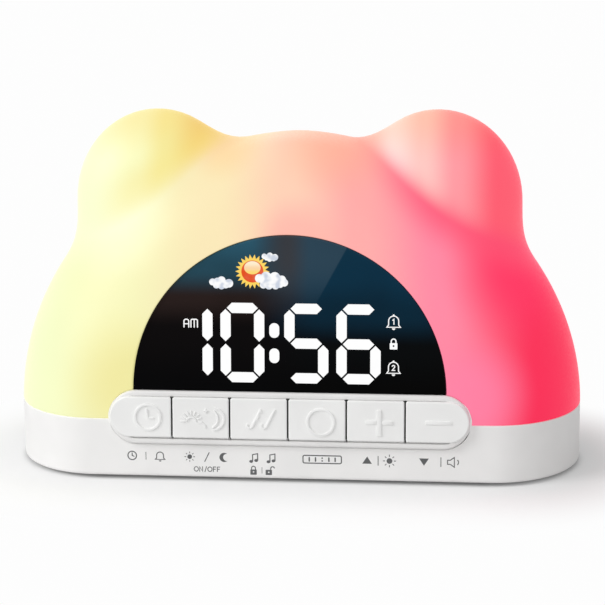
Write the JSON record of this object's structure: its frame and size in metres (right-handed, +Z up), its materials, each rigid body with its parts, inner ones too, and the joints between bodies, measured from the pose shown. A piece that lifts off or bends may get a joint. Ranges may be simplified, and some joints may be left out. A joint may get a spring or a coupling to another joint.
{
  "type": "alarm clock",
  "caption": "Bear-eared children's alarm clock: glowing translucent dome on a low white base, smoked half-round display window and a pill-shaped row of push keys.",
  "frame": {"origin": "On the resting surface, under the middle of the clock's width and depth", "axes": "+X along the width, to the right as the display is read; +Y from the display to the rear; +Z up"},
  "size_m": [0.17, 0.0652, 0.1057],
  "materials": {
    "shade_plastic": "translucent",
    "white_plastic": "fine matt",
    "key_plastic": "fine matt",
    "smoked_lens": "polished",
    "black_plastic": "matt",
    "reflector_plastic": "matt",
    "light_guide": "diffusing",
    "printed_film": "printed",
    "circuit_board": "lacquered",
    "white_board": "lacquered",
    "lamp_plastic": "moulded",
    "ribbon": "flat cable",
    "switch_steel": "stamped",
    "plated_steel": "nickel plated",
    "black_steel": "black",
    "cone_paper": "pressed paper",
    "magnet": "zinc plated",
    "cell_wrap": "printed wrap",
    "rubber": "matt",
    "red_wire": "insulation",
    "black_wire": "insulation",
    "white_wire": "insulation"
  },
  "bodies": {
    "clock": {"night_light_shade": "shade_plastic", "base_housing": "white_plastic", "bottom_cover": "white_plastic", "display_window": "smoked_lens", "display_frame": "black_plastic", "digit_reflector": "reflector_plastic", "digit_segments": "light_guide", "weather_film": "printed_film", "display_board": "circuit_board", "display_ribbon": "ribbon", "button_bezel": "white_plastic", "button_board": "circuit_board", "tact_switches": "switch_steel", "light_board": "white_board", "rgb_leds": "lamp_plastic", "main_board": "circuit_board", "main_chips": "black_plastic", "usb_socket": "plated_steel", "speaker_basket": "black_steel", "speaker_cone": "cone_paper", "speaker_magnet": "magnet", "battery_cell_1": "cell_wrap", "battery_cell_2": "cell_wrap", "battery_cell_3": "cell_wrap", "battery_springs": "plated_steel", "battery_plates": "plated_steel", "rubber_feet": "rubber", "case_screws": "plated_steel", "light_screws": "plated_steel", "display_screws": "plated_steel", "board_screws": "plated_steel", "speaker_lead": "red_wire", "battery_lead": "black_wire", "light_lead": "white_wire"},
    "time_key": {"key_time": "key_plastic", "switch_stem_1": "black_plastic"},
    "sun_moon_key": {"key_sun_moon": "key_plastic", "switch_stem_2": "black_plastic"},
    "tunes_key": {"key_tunes": "key_plastic", "switch_stem_3": "black_plastic"},
    "display_key": {"key_display": "key_plastic", "switch_stem_4": "black_plastic"},
    "up_key": {"key_up": "key_plastic", "switch_stem_5": "black_plastic"},
    "down_key": {"key_down": "key_plastic", "switch_stem_6": "black_plastic"},
    "door": {"battery_door": "white_plastic"}
  },
  "joints": [
    {"name": "press_time", "type": "slide", "parent": "clock", "child": "time_key", "axis": [0, 0.9976, -0.0698], "range_m": [0, 0.0004], "stiffness_N_per_m": 500, "springref_m": -0.0004},
    {"name": "press_sun_moon", "type": "slide", "parent": "clock", "child": "sun_moon_key", "axis": [0, 0.9976, -0.0698], "range_m": [0, 0.0004], "stiffness_N_per_m": 500, "springref_m": -0.0004},
    {"name": "press_tunes", "type": "slide", "parent": "clock", "child": "tunes_key", "axis": [0, 0.9976, -0.0698], "range_m": [0, 0.0004], "stiffness_N_per_m": 500, "springref_m": -0.0004},
    {"name": "press_display", "type": "slide", "parent": "clock", "child": "display_key", "axis": [0, 0.9976, -0.0698], "range_m": [0, 0.0004], "stiffness_N_per_m": 500, "springref_m": -0.0004},
    {"name": "press_up", "type": "slide", "parent": "clock", "child": "up_key", "axis": [0, 0.9976, -0.0698], "range_m": [0, 0.0004], "stiffness_N_per_m": 500, "springref_m": -0.0004},
    {"name": "press_down", "type": "slide", "parent": "clock", "child": "down_key", "axis": [0, 0.9976, -0.0698], "range_m": [0, 0.0004], "stiffness_N_per_m": 500, "springref_m": -0.0004},
    {"name": "battery_door_slide", "type": "slide", "parent": "clock", "child": "door", "axis": [0, 1, 0], "range_m": [0, 0.03]}
  ]
}
